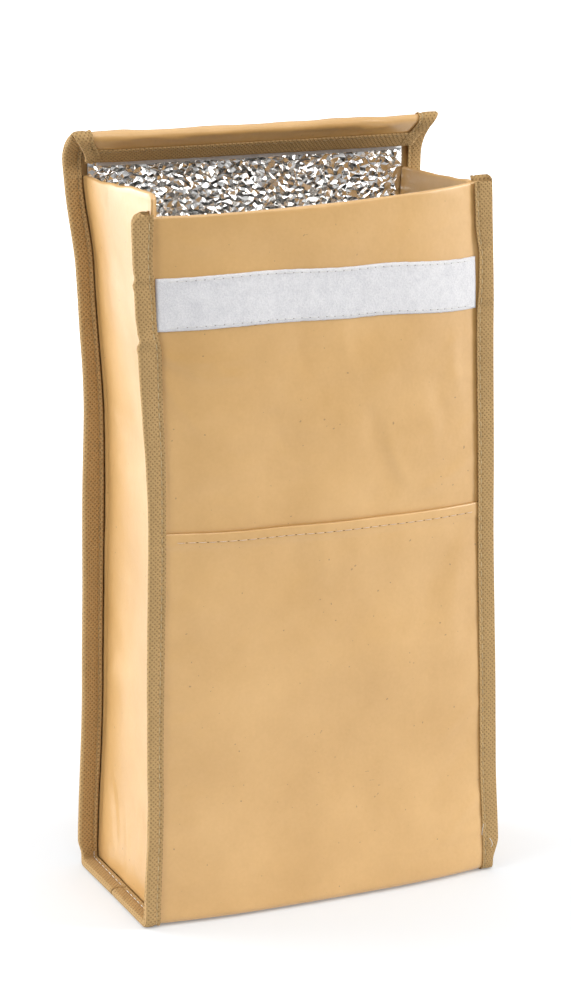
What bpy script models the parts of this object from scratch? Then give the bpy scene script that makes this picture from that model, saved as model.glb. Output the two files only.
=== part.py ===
"""A sewn, foil-lined lunch bag with a paper look.

One long outer panel makes the pocket front, the bottom, the back and the flap. A second panel makes
the upper front and runs down behind the pocket. Two gussets close the sides. Every long seam is an
outward flange, wrapped in folded binding tape. The pieces are first placed on a square, straight bag,
layer by layer, and then every point goes through slump(), which leans and bows the standing bag.

Lengths here are millimetres, and finish() turns them into metres. +Z is up, the front faces -Y, and
the origin is on the floor, under the middle of the bag.
"""

import math

import bmesh
import bpy

MM = 0.001

# Driving dimensions of the square bag.
SEAM_WIDTH = 166.0
DEPTH = 88.0
FRONT_RIM = 341.0
GUSSET_RIM = 343.0
POCKET_RIM = 191.5
UNDERSIDE = 0.8  # the outer panel rides this far up where tape passes under it
BOTTOM_RADIUS = 5.0
HEM_DEPTH = 25.0
WALL_STEPS = 14  # every layer of every wall has its points at the same heights
HEM_TURNS = 6

# The flap: above NECK_START the back panel nods forward, then folds over and tucks its end back and down.
NECK_START = 348.0
NECK_RADIUS = 20.0
NECK_TURN = math.radians(45)
NECK_RUN = 4.0
FOLD_RADIUS = 6.0
FOLD_TURN = math.radians(171)
FLAP_RUN = 6.5

# Layers, as distances inward from the outer panel's outer face.
CLOTH = 0.6
FOAM = 2.0
GAP = 0.3
FRONT_PANEL = CLOTH + GAP
LINING = FRONT_PANEL + CLOTH + GAP
FRONT_HEM = LINING + FOAM + GAP
STRIP_THICK = 1.2
STRIP_HEIGHT = 25.0
LOOP_STRIP_TOP = 311.5
HOOK_FROM_END = 10.5

# The bound flanges.
SEAM = SEAM_WIDTH / 2
FLANGE = 8.5  # cloth beyond the seam
HEM_EDGE = SEAM - FRONT_HEM - CLOTH - GAP  # a front hem ends here, clear of the gussets' hems
TAPE = 0.5
TAPE_OVER = 0.3  # how far the tape's outer leaf laps the panel inside the seam
TAPE_INNER = LINING + CLOTH + GAP  # where the tape's hidden leaf lies
TAPE_BEVEL = 0.2  # softens the outside of the tape's fold
FOLD_NUDGE = 0.06  # the inside of the tape's fold is this far from square
END_TAPE_REACH = 9.0
JOINT_FROM_FRONT = 46.0  # where the left tape's two lengths meet under the bag

# How far the standing bag leans, as (height, shift) along each seam.
LEAN_X = {
    "front_left": ((0, -1.5), (70, 2.0), (200, 4.0), (300, 0.0), (345, -0.5)),
    "front_right": ((0, 3.0), (60, 1.5), (190, -2.0), (280, -3.7), (345, -5.5)),
    "back_left": ((0, 0.0), (95, 3.6), (225, 5.5), (300, 3.0), (345, -1.5)),
    "back_right": ((0, 0.0), (95, -2.5), (225, -4.0), (300, -2.0), (345, 1.0)),
}
LEAN_Y = {
    "front_left": ((0, -3.0), (90, -1.2), (345, -1.5)),
    "front_right": ((0, -3.0), (90, -0.5), (345, 2.5)),
    "back_left": ((0, 0.0), (225, -3.0), (345, 1.0)),
    "back_right": ((0, 0.0), (225, -2.0), (345, 1.0)),
}
RIM_LIFT = {"front_left": -1.0, "front_right": 2.0, "back_left": 1.5, "back_right": -2.5}
FRONT_BOW = ((0, 5.5), (190, 7.0), (345, 12.0))
GUSSET_TUCK = ((0, 0.0), (180, 3.0), (345, -1.0))
LEFT_GUSSET_RISE = 7.0  # the left gusset's rim climbs towards the front
RISE_START, RISE_FULL, RISE_DROP, RISE_END = -30.0, 36.0, 38.0, 44.0  # distances forward of the middle
RIGHT_GUSSET_FALL = 3.0  # the right gusset's rim drops towards the back
FALL_START, FALL_FULL = -20.0, 40.0  # distances behind the middle
FLAP_PINCH = 0.08  # the flap's free end is drawn in by this share
PINCH_LENGTH = 18.0

# The bottom settles onto the floor inside these distances from its middle, and is up on the tape beyond.
SETTLED_X, RAISED_X = 62.0, 80.0
SETTLED_Y, RAISED_Y = 28.0, 38.0

# The flanges are trimmed at the bag's lower corners by these shares, over this distance along the seam.
RIGHT_FRONT_TRIM = 0.35
REAR_TRIM = 0.2
TRIM_REACH = 12.0

# Where the sheets have their columns of points.
ACROSS = (0.0, 20.0, 40.0, 56.0, 68.0)
ALONG_GUSSET = (-20.0, 0.0, 20.0)

COLOURS = {
    "paper": ((0.72, 0.46, 0.21, 1), 0.62, 0.0),
    "foil": ((0.80, 0.80, 0.82, 1), 0.22, 1.0),
    "tape": ((0.50, 0.33, 0.15, 1), 0.80, 0.0),
    "white": ((0.80, 0.80, 0.84, 1), 0.90, 0.0),
}


def between(points, at):
    """The value at this place on a smooth line through (place, value) points."""
    if at <= points[0][0]:
        return points[0][1]
    for (a, low), (b, high) in zip(points, points[1:]):
        if at <= b:
            share = (at - a) / (b - a)
            return low + (high - low) * share * share * (3 - 2 * share)
    return points[-1][1]


def ramp(at, start, end):
    """0 before start, 1 after end, and smooth between them."""
    return between(((start, 0.0), (end, 1.0)), at)


def corners(values, across, back):
    """Blends the four seams' values at a share of the width and of the depth."""
    front = values["front_left"] * (1 - across) + values["front_right"] * across
    rear = values["back_left"] * (1 - across) + values["back_right"] * across
    return front * (1 - back) + rear * back


def slump(point):
    """Moves a point of the square bag to its place on the standing bag."""
    x, y, z = point
    across = min(max((x + SEAM) / SEAM_WIDTH, 0.0), 1.0)
    back = min(max((y + DEPTH / 2) / DEPTH, 0.0), 1.0)
    lean_x = {seam: between(line, z) for seam, line in LEAN_X.items()}
    lean_y = {seam: between(line, z) for seam, line in LEAN_Y.items()}
    tuck = between(GUSSET_TUCK, z) * 4 * back * (1 - back) * (1 - 2 * across)
    bow = between(FRONT_BOW, z) * (1 - abs(2 * across - 1) ** 3) * (1 - back)
    lift = corners(RIM_LIFT, across, back) * z / FRONT_RIM
    return (
        x + corners(lean_x, across, back) + tuck,
        y + corners(lean_y, across, back) - bow,
        z + lift,
    )


class Run:
    """The outer panel's path in side view, from the front rim down, under, up and over to the flap's end."""

    def __init__(self):
        half, low, radius = DEPTH / 2, UNDERSIDE, BOTTOM_RADIUS
        quarter = math.pi / 2
        self.parts = []
        self.length = 0.0
        self.straight((-half, FRONT_RIM), (-half, low + radius), WALL_STEPS)
        self.front_fold = self.length
        self.arc((radius - half, low + radius), radius, math.pi, quarter, 3)
        self.straight((radius - half, low), (half - radius, low), 4)
        self.arc((half - radius, low + radius), radius, -quarter, quarter, 3)
        self.back_fold = self.length
        self.straight((half, low + radius), (half, FRONT_RIM), WALL_STEPS)
        self.straight((half, FRONT_RIM), (half, NECK_START), 1)
        self.flap_fold = self.length
        self.arc((half - NECK_RADIUS, NECK_START), NECK_RADIUS, 0.0, NECK_TURN, 3)
        self.onward(NECK_TURN, NECK_RUN, 1)
        (y, z), (inward_y, inward_z) = self.at(self.length)
        centre = (y + inward_y * FOLD_RADIUS, z + inward_z * FOLD_RADIUS)
        self.arc(centre, FOLD_RADIUS, NECK_TURN, FOLD_TURN, 8)
        self.onward(NECK_TURN + FOLD_TURN, FLAP_RUN, 1)

    def straight(self, start, end, steps):
        size = math.dist(start, end)
        heading = ((end[0] - start[0]) / size, (end[1] - start[1]) / size)
        inward = (-heading[1], heading[0])

        def place(s):
            return (start[0] + heading[0] * s, start[1] + heading[1] * s), inward

        self.add(place, size, steps)

    def onward(self, turned, size, steps):
        """A straight run from the path's end, which has turned this far from upright."""
        start, _ = self.at(self.length)
        self.straight(start, (start[0] - math.sin(turned) * size, start[1] + math.cos(turned) * size), steps)

    def arc(self, centre, radius, begin, turn, steps):
        def place(s):
            angle = begin + s / radius
            out = (math.cos(angle), math.sin(angle))
            return (centre[0] + radius * out[0], centre[1] + radius * out[1]), (-out[0], -out[1])

        self.add(place, radius * turn, steps)

    def add(self, place, size, steps):
        self.parts.append((self.length, size, steps, place))
        self.length += size

    def at(self, s):
        """The outer face's (y, z) at this distance along the path, and the inward direction there."""
        for start, size, _, place in self.parts:
            if s <= start + size + 1e-9:
                return place(max(s - start, 0.0))
        return self.parts[-1][3](self.parts[-1][1])

    def stations(self, start, end):
        """Distances from start to end that include every bend's own stations."""
        marks = {start, end}
        for begin, size, steps, _ in self.parts:
            marks |= {begin + size * k / steps for k in range(steps + 1)}
        inside = sorted(m for m in marks if start <= m <= end)
        return [m for k, m in enumerate(inside) if k == 0 or m - inside[k - 1] > 0.2]


RUN = Run()


def sag(x, y):
    """How far the bottom settles onto the floor between the taped edges."""
    return UNDERSIDE * (1 - ramp(abs(x), SETTLED_X, RAISED_X)) * (1 - ramp(abs(y), SETTLED_Y, RAISED_Y))


def flange_share(side, s):
    """The flange's width along the path, as a share: it is trimmed round where the bag's corners meet the floor."""
    front = RIGHT_FRONT_TRIM if side > 0 else 0.0
    share = 1.0
    for corner, trim in ((RUN.front_fold, front), (RUN.back_fold, REAR_TRIM)):
        share -= trim * (1 - ramp(abs(s - corner), 0, TRIM_REACH))
    return share


def body(x, s, layer):
    """A point of the long panel's layers: across at x, at distance s along the path, and layer deep."""
    (y, z), (inward_y, inward_z) = RUN.at(s)
    side = math.copysign(1.0, x)
    beyond = max(abs(x) - SEAM, 0.0)
    x = side * (min(abs(x), SEAM) + beyond * flange_share(side, s))
    y += inward_y * layer
    z += inward_z * layer
    if z < BOTTOM_RADIUS:
        z -= sag(x, y)
    if s > RUN.flap_fold:
        x *= 1 - FLAP_PINCH * ramp(s, RUN.length - PINCH_LENGTH, RUN.length)
    return slump((x, y, z))


def slab(name, outer, inner, faces, material):
    """A closed sheet with two skins, given as two lists of points and the faces that they share."""
    count = len(outer)
    mesh = bmesh.new()
    verts = [mesh.verts.new([c * MM for c in point]) for point in [*outer, *inner]]
    border = {}
    for face in faces:
        mesh.faces.new([verts[i] for i in face])
        mesh.faces.new([verts[i + count] for i in reversed(face)])
        for a, b in zip(face, face[1:] + face[:1]):
            if (b, a) in border:
                del border[(b, a)]
            else:
                border[(a, b)] = True
    for a, b in border:
        mesh.faces.new([verts[b], verts[a], verts[a + count], verts[b + count]])
    bmesh.ops.triangulate(mesh, faces=mesh.faces[:])
    bmesh.ops.recalc_face_normals(mesh, faces=mesh.faces[:])
    return finish(name, mesh, material)


def finish(name, mesh, material):
    data = bpy.data.meshes.new(name)
    mesh.to_mesh(data)
    mesh.free()
    data.materials.append(material)
    obj = bpy.data.objects.new(name, data)
    bpy.context.scene.collection.objects.link(obj)
    return obj


def grid(name, rows, columns, place, thick, material):
    """A sheet over rows by columns. place(row, column, depth) gives a point of it, depth into the sheet."""
    wide = len(columns)
    outer = [place(r, c, 0.0) for r in rows for c in columns]
    inner = [place(r, c, thick) for r in rows for c in columns]
    faces = [
        [i * wide + j, i * wide + j + 1, (i + 1) * wide + j + 1, (i + 1) * wide + j]
        for i in range(len(rows) - 1)
        for j in range(wide - 1)
    ]
    return slab(name, outer, inner, faces, material)


def columns_to(edge):
    """Even columns across the bag, ending at plus and minus edge."""
    marks = (*ACROSS, HEM_EDGE, SEAM)
    right = [x for x in marks if x < edge - 1] + [edge]
    return [-x for x in reversed(right[1:])] + right


def long_sheet(name, start, end, edge, layer, thick, material):
    def place(s, x, depth):
        return body(x, s, layer + depth)

    return grid(name, RUN.stations(start, end), columns_to(edge), place, thick, material)


class Sheet:
    """A closed sheet built point by point, each point with its outer and its inner skin."""

    def __init__(self):
        self.outer, self.inner, self.faces, self.index = [], [], [], {}

    def add(self, key, outer, inner):
        self.index[key] = len(self.outer)
        self.outer.append(outer)
        self.inner.append(inner)

    def face(self, *keys):
        self.faces.append([self.index[key] for key in keys])

    def make(self, name, material):
        return slab(name, self.outer, self.inner, self.faces, material)


def rolled(low, middle, reach, angle):
    """A point on a hem's roll: reach from its middle, turned by angle up from the outer side."""
    point = low(middle - reach * math.cos(angle))
    return point[0], point[1], point[2] + reach * math.sin(angle)


def add_hem(sheet, columns, low, down, layers, below):
    """Adds a hem over the lining's edge. low(column, layer) is on the rim and down(column, layer) at the hem's foot."""
    outside, inside = layers
    middle, radius = (outside + inside + CLOTH) / 2, (inside + CLOTH - outside) / 2
    turns = [math.pi * k / HEM_TURNS for k in range(1, HEM_TURNS + 1)]
    for column, value in enumerate(columns):
        for turn, angle in enumerate(turns):
            skins = [
                rolled(lambda layer: low(value, layer), middle, radius - depth, angle)
                for depth in (0.0, CLOTH)
            ]
            sheet.add(("hem", turn, column), *skins)
        foot = [down(value, middle + radius - depth) for depth in (0.0, CLOTH)]
        sheet.add(("hem", HEM_TURNS, column), *foot)
    for column in range(len(columns) - 1):
        sheet.face(below(column), below(column + 1), ("hem", 0, column + 1), ("hem", 0, column))
        for turn in range(HEM_TURNS):
            here, up = ("hem", turn), ("hem", turn + 1)
            sheet.face((*here, column), (*here, column + 1), (*up, column + 1), (*up, column))


def upper_front_panel(name, bottom, material):
    """The upper front: from behind the pocket up to the rim, then HEM_DEPTH down inside."""
    sheet = Sheet()
    columns = columns_to(SEAM + FLANGE)
    rows = RUN.stations(0.0, bottom)
    for i, s in enumerate(rows):
        for j, x in enumerate(columns):
            sheet.add((i, j), body(x, s, FRONT_PANEL), body(x, s, FRONT_PANEL + CLOTH))
    for i in range(len(rows) - 1):
        for j in range(len(columns) - 1):
            sheet.face((i + 1, j), (i + 1, j + 1), (i, j + 1), (i, j))
    first = columns.index(-HEM_EDGE)
    hem_columns = columns[first : columns.index(HEM_EDGE) + 1]
    add_hem(
        sheet,
        hem_columns,
        lambda x, layer: body(x, 0.0, layer),
        lambda x, layer: body(x, HEM_DEPTH, layer),
        (FRONT_PANEL, FRONT_HEM),
        lambda column: (0, first + column),
    )
    return sheet.make(name, material)


def gusset_point(side, y, z, depth):
    """A point of a gusset's wall, depth inward from its outer face."""
    if side < 0:
        rise = LEFT_GUSSET_RISE * ramp(-y, RISE_START, RISE_FULL) * (1 - ramp(-y, RISE_DROP, RISE_END))
    else:
        rise = -RIGHT_GUSSET_FALL * ramp(y, FALL_START, FALL_FULL)
    return slump((side * (SEAM - depth), y, z + rise * z / GUSSET_RIM))


def gusset_rows():
    """Heights up a gusset, the same as the long panel's own stations."""
    low = UNDERSIDE + BOTTOM_RADIUS
    return [low + (FRONT_RIM - low) * k / WALL_STEPS for k in range(WALL_STEPS + 1)] + [GUSSET_RIM]


def wall_frame(inset):
    """The wall's inner columns and the path stations along its front, bottom and back edges."""
    half = DEPTH / 2
    columns = [-half + BOTTOM_RADIUS, *ALONG_GUSSET, half - BOTTOM_RADIUS]
    rows = gusset_rows()
    low = UNDERSIDE + inset
    near = BOTTOM_RADIUS - (BOTTOM_RADIUS - inset) * math.sqrt(0.5)
    edge = [(-half + inset, z) for z in reversed(rows)]
    edge += [(-half + near, UNDERSIDE + near)]
    edge += [(y, low) for y in columns]
    edge += [(half - near, UNDERSIDE + near)]
    edge += [(half - inset, z) for z in rows]
    return rows, columns, edge


def fill_wall(sheet, rows, columns):
    """Adds the faces between a wall's inner points and its front, bottom and back edges."""
    high, wide = len(rows), len(columns)
    corner_front, corner_back = high, high + wide + 1

    def at(row, column):
        if column < 0:
            return ("edge", high - 1 - row if row >= 0 else corner_front)
        if column >= wide:
            return ("edge", corner_back + 1 + row if row >= 0 else corner_back)
        if row < 0:
            return ("edge", corner_front + 1 + column)
        return ("in", row, column)

    for row in range(-1, high - 1):
        for column in range(-1, wide):
            sheet.face(at(row, column), at(row, column + 1), at(row + 1, column + 1), at(row + 1, column))


def gusset_panel(name, side, material):
    """A side wall whose front, bottom and back edges turn outward, and whose rim turns down inside."""
    sheet = Sheet()
    rows, columns, edge = wall_frame(LINING)
    outer_edge = wall_frame(LINING + CLOTH)[2]
    stations = path_stations(edge)
    flange = side * (SEAM + FLANGE)
    for k, s in enumerate(stations):
        sheet.add(
            ("edge", k),
            gusset_point(side, *outer_edge[k], 0.0),
            gusset_point(side, *edge[k], CLOTH),
        )
        sheet.add(("flange", k), body(flange, s, LINING + CLOTH), body(flange, s, LINING))
    for i, z in enumerate(rows):
        for j, y in enumerate(columns):
            sheet.add(("in", i, j), gusset_point(side, y, z, 0.0), gusset_point(side, y, z, CLOTH))
    fill_wall(sheet, rows, columns)
    for k in range(len(stations) - 1):
        sheet.face(("flange", k), ("flange", k + 1), ("edge", k + 1), ("edge", k))
    add_hem(
        sheet,
        columns,
        lambda y, layer: gusset_point(side, y, GUSSET_RIM, layer),
        lambda y, layer: gusset_point(side, y, GUSSET_RIM - HEM_DEPTH, layer),
        (0.0, CLOTH + GAP + FOAM + GAP),
        lambda column: ("in", len(rows) - 1, column),
    )
    return sheet.make(name, material)


def path_stations(edge):
    """The distance along the path of each of a wall's edge points."""
    found = []
    for y, z in edge:
        best = min(RUN.stations(0.0, RUN.flap_fold), key=lambda s: math.dist(RUN.at(s)[0], (y, z)))
        low, high = best - 30, best + 30
        for _ in range(60):
            third = (high - low) / 3
            a, b = low + third, high - third
            if math.dist(RUN.at(max(a, 0))[0], (y, z)) < math.dist(RUN.at(max(b, 0))[0], (y, z)):
                high = b
            else:
                low = a
        found.append(max((low + high) / 2, 0.0))
    return found


def gusset_lining(name, side, material):
    sheet = Sheet()
    rows, columns, edge = wall_frame(CLOTH + GAP)
    furthest = DEPTH / 2 - LINING - GAP

    def add(key, y, z):
        y = min(max(y, -furthest), furthest)
        z = min(max(z, UNDERSIDE + CLOTH + GAP), GUSSET_RIM - GAP)
        start = CLOTH + GAP
        sheet.add(key, gusset_point(side, y, z, start), gusset_point(side, y, z, start + FOAM))

    for k, (y, z) in enumerate(edge):
        add(("edge", k), y, z)
    for i, z in enumerate(rows):
        for j, y in enumerate(columns):
            add(("in", i, j), y, z)
    fill_wall(sheet, rows, columns)
    return sheet.make(name, material)


def tape(name, side, start, end, material):
    """Folded binding tape round a flange, from start to end along the path."""
    inside, outside = SEAM - TAPE_OVER, SEAM + FLANGE + GAP
    front, back = -GAP, TAPE_INNER
    outer = [
        (inside, front - TAPE),
        (outside + TAPE_BEVEL, front - TAPE),
        (outside + TAPE, front - TAPE_BEVEL / 2),
        (outside + TAPE, back + TAPE_BEVEL / 2),
        (outside + TAPE_BEVEL, back + TAPE),
        (SEAM + GAP, back + TAPE),
    ]
    inner = [
        (inside, front),
        (outside - FOLD_NUDGE, front),
        (outside, front + FOLD_NUDGE),
        (outside, back - FOLD_NUDGE),
        (outside - FOLD_NUDGE, back),
        (SEAM + GAP, back),
    ]

    def place(s, skins, depth):
        x, layer = skins[1 if depth else 0]
        return body(side * x, s, layer)

    return grid(name, RUN.stations(start, end), list(zip(outer, inner)), place, TAPE, material)


def end_tape(name, material):
    """The tape folded over the flap's free end, between the two side tapes."""
    end, reach = RUN.length, END_TAPE_REACH
    deep = LINING + FOAM + GAP
    edge = SEAM - TAPE_OVER - 4 * GAP
    run = RUN.stations(end - reach, end)
    rows = [((s, -GAP - TAPE), (s, -GAP)) for s in run]
    rows += [((end + GAP + TAPE, -GAP - TAPE), (end + GAP, -GAP))]
    rows += [((end + GAP + TAPE, deep + TAPE), (end + GAP, deep))]
    rows += [((s, deep + TAPE), (s, deep)) for s in reversed(run)]

    def place(row, x, depth):
        s, layer = row[1 if depth else 0]
        past = max(s - end, 0.0)
        near = body(x, min(s, end), layer)
        before = body(x, end - 1.0, layer)
        tip = body(x, end, layer)
        return tuple(n + (t - b) * past for n, t, b in zip(near, tip, before))

    return grid(name, rows, columns_to(edge), place, TAPE, material)


def painted(name):
    colour, roughness, metallic = COLOURS[name]
    material = bpy.data.materials.new(name)
    material.use_nodes = True
    shader = material.node_tree.nodes["Principled BSDF"]
    shader.inputs["Base Color"].default_value = colour
    shader.inputs["Roughness"].default_value = roughness
    shader.inputs["Metallic"].default_value = metallic
    return material


def clear_scene():
    for obj in list(bpy.data.objects):
        bpy.data.objects.remove(obj, do_unlink=True)


def main():
    clear_scene()
    paper, foil, brown, white = (painted(name) for name in ("paper", "foil", "tape", "white"))
    end = RUN.length
    flange_edge = SEAM + FLANGE
    lining_edge = SEAM - CLOTH - GAP - FOAM - 3 * GAP
    strip_edge = SEAM - TAPE_OVER - GAP

    pocket_top = FRONT_RIM - POCKET_RIM
    long_sheet("outer_body_panel", pocket_top, end, flange_edge, 0.0, CLOTH, paper)
    behind_pocket = FRONT_RIM - (BOTTOM_RADIUS + UNDERSIDE + GAP)
    upper_front_panel("upper_front_panel", behind_pocket, paper)
    long_sheet("body_lining", GAP, end, lining_edge, LINING, FOAM, foil)
    for side, word in ((-1, "left"), (1, "right")):
        gusset_panel(f"{word}_gusset_panel", side, paper)
        gusset_lining(f"{word}_gusset_lining", side, foil)

    strip_top = FRONT_RIM - LOOP_STRIP_TOP
    strip_layer = FRONT_PANEL - GAP - STRIP_THICK
    long_sheet("loop_strip", strip_top, strip_top + STRIP_HEIGHT, strip_edge, strip_layer, STRIP_THICK, white)
    hook_end = end - HOOK_FROM_END
    hook_layer = LINING + FOAM + GAP
    long_sheet("hook_strip", hook_end - STRIP_HEIGHT, hook_end, lining_edge - 1, hook_layer, STRIP_THICK, white)

    joint = RUN.front_fold + JOINT_FROM_FRONT
    tape("left_front_binding", -1, 0.0, joint, brown)
    tape("left_rear_binding", -1, joint + GAP, end, brown)
    tape("right_binding", 1, 0.0, end, brown)
    end_tape("flap_end_binding", brown)


main()
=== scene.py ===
"""The looks of a sewn, foil-lined lunch bag with a paper look.

Every soft piece is placed on a square, straight bag first, as in the CAD model, and then each point
goes through slump(), which leans and bows the standing bag. Lengths here are millimetres until a mesh
is made, +Z is up and the front faces -Y.
"""

import math

import bpy
import numpy as np
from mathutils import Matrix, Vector, geometry


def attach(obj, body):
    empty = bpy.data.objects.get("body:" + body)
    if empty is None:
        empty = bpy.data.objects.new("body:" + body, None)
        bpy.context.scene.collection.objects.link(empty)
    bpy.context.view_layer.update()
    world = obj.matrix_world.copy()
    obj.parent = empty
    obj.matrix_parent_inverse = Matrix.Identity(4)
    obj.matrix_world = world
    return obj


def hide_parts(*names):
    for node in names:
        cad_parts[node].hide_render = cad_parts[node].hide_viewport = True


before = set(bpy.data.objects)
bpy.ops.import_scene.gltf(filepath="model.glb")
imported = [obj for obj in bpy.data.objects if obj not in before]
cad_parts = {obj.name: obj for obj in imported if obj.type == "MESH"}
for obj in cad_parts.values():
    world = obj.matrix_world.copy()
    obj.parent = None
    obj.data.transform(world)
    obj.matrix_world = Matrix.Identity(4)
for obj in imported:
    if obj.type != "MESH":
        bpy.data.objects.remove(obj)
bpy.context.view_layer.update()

MM = 0.001
CAMERA_TURN = math.radians(23.98)
CAMERA_TILT = math.radians(16.05)
CAMERA_PLACE = (-0.620, -1.3948, 0.6275)
CAMERA_LENS = 119.0
BAG_MIDDLE = (0, 0, 0.2)

# The square bag, as the CAD model has it.
SEAM_WIDTH = 166.0
SEAM = SEAM_WIDTH / 2
DEPTH = 88.0
FRONT_RIM = 341.0
GUSSET_RIM = 343.0
POCKET_RIM = 191.5
UNDERSIDE = 0.6
BOTTOM_RADIUS = 4.0
PRESSED = 0.35
HEM_DEPTH = 25.0
NECK_START = 348.3
NECK_RADIUS = 18.0
NECK_TURN = math.radians(60)
NECK_RUN = 5.0
FOLD_RADIUS = 2.6
FOLD_TURN = math.radians(156)
FLAP_RUN = 13.5
FOLD_SQUEEZE = 0.62
STRIP_HEIGHT = 25.0
HOOK_FROM_END = 10.5
HOOK_REACH = 1.35  # the path is this much shorter inside the flap's fold, where the hook strip lies
FLANGE = 8.5
END_TAPE_REACH = 8.0
JOINT_FROM_FRONT = 46.0
HIDDEN_RUN = 30.0  # the upper front goes on this far below the pocket's mouth
POCKET_SLOPE = 0.033
POCKET_HEM = 7.0

# Cloth as it really is, as distances inward from the outer panel's outer face.
CLOTH = 0.35
FRONT_PANEL = 0.55
LINING = 1.1
FOAM = 1.3
FOIL_FACE = LINING + FOAM
HEM_GAP = 0.25
STRIP_LAYER = FRONT_PANEL - 1.0
GUSSET_WALL = 0.0
TAPE = 0.4
FLANGE_FACE = -0.30
FLANGE_BACK = FOIL_FACE + 0.1
STITCH_INSET = 1.9
BACK_LEAF_START = 0.75

LEAN_X = {
    "front_left": ((0, -1.5), (70, 2.0), (200, 4.0), (300, 0.0), (345, -0.5)),
    "front_right": ((0, 3.0), (60, 1.5), (190, -2.0), (280, -3.7), (345, -5.5)),
    "back_left": ((0, 0.0), (95, 3.6), (225, 5.5), (300, 3.0), (345, -1.5)),
    "back_right": ((0, 0.0), (95, -2.5), (225, -4.0), (300, -2.0), (345, 1.0)),
}
LEAN_Y = {
    "front_left": ((0, -3.0), (90, -1.2), (345, -1.5)),
    "front_right": ((0, -3.0), (90, -0.5), (345, 2.5)),
    "back_left": ((0, 0.0), (225, -3.0), (345, 1.0)),
    "back_right": ((0, 0.0), (225, -2.0), (345, 1.0)),
}
RIM_LIFT = {"front_left": -1.0, "front_right": 2.0, "back_left": 1.5, "back_right": -2.5}
FRONT_BOW = ((0, 5.5), (190, 7.0), (345, 12.0))
GUSSET_TUCK = ((0, 0.0), (180, 3.0), (345, -1.0))
LEFT_RIM = ((-44, 6.6), (-36, 7.4), (-20, 6.6), (0, 3.9), (24, 0.9), (44, 0.0))
RIGHT_RIM = ((-44, -0.7), (-21, -2.5), (5, -3.8), (44, -4.5))
FRONT_FLARE = 1.2
FLAP_PINCH = 0.08
PINCH_LENGTH = 18.0


# ---------------- smooth functions and noise


def between(points, at):
    """Values at these places on a smooth line through (place, value) points."""
    at = np.asarray(at, float)
    places = np.array([p for p, _ in points], float)
    values = np.array([v for _, v in points], float)
    at = np.clip(at, places[0], places[-1])
    k = np.clip(np.searchsorted(places, at, side="right") - 1, 0, len(places) - 2)
    share = (at - places[k]) / (places[k + 1] - places[k])
    return values[k] + (values[k + 1] - values[k]) * share * share * (3 - 2 * share)


def ramp(at, start, end):
    """Rises smoothly from 0 at start to 1 at end."""
    return between(((start, 0.0), (end, 1.0)), at)


def noise(u, v, size, seed, octaves=1):
    """Smooth noise from about -1 to 1 over a plane, with features of this size."""
    u, v = np.asarray(u, float), np.asarray(v, float)
    total, weight = np.zeros(np.broadcast(u, v).shape), 0.0
    for octave in range(octaves):
        table = np.random.default_rng(seed * 31 + octave).uniform(-1, 1, (64, 64))
        a, b = u / size * 2**octave, v / size * 2**octave
        i, j = np.floor(a).astype(int), np.floor(b).astype(int)
        s, t = a - i, b - j
        s, t = s * s * s * (s * (6 * s - 15) + 10), t * t * t * (t * (6 * t - 15) + 10)
        i, j, ii, jj = i % 64, j % 64, (i + 1) % 64, (j + 1) % 64
        low = table[i, j] * (1 - s) + table[ii, j] * s
        high = table[i, jj] * (1 - s) + table[ii, jj] * s
        total = total + (low * (1 - t) + high * t) / 2**octave
        weight += 1 / 2**octave
    return total / weight


def ridge(distance, width):
    """A soft bump of height 1 over a crease, from the distance to it."""
    return np.exp(-((distance / width) ** 2))


# ---------------- the standing bag's shape


def corners(values, across, back):
    """Blends the values of the four corner seams."""
    front = values["front_left"] * (1 - across) + values["front_right"] * across
    rear = values["back_left"] * (1 - across) + values["back_right"] * across
    return front * (1 - back) + rear * back


def slump(x, y, z):
    """Moves points of the square bag to their places on the standing bag."""
    across = np.clip((x + SEAM) / SEAM_WIDTH, 0, 1)
    back = np.clip((y + DEPTH / 2) / DEPTH, 0, 1)
    lean_x = {seam: between(line, z) for seam, line in LEAN_X.items()}
    lean_y = {seam: between(line, z) for seam, line in LEAN_Y.items()}
    tuck = between(GUSSET_TUCK, z) * 4 * back * (1 - back) * (1 - 2 * across)
    bow = between(FRONT_BOW, z) * (1 - np.abs(2 * across - 1) ** 3) * (1 - back)
    lift = corners(RIM_LIFT, across, back) * z / FRONT_RIM
    return np.stack(
        np.broadcast_arrays(
            x + corners(lean_x, across, back) + tuck,
            y + corners(lean_y, across, back) - bow,
            z + lift,
        ),
        axis=-1,
    )


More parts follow.
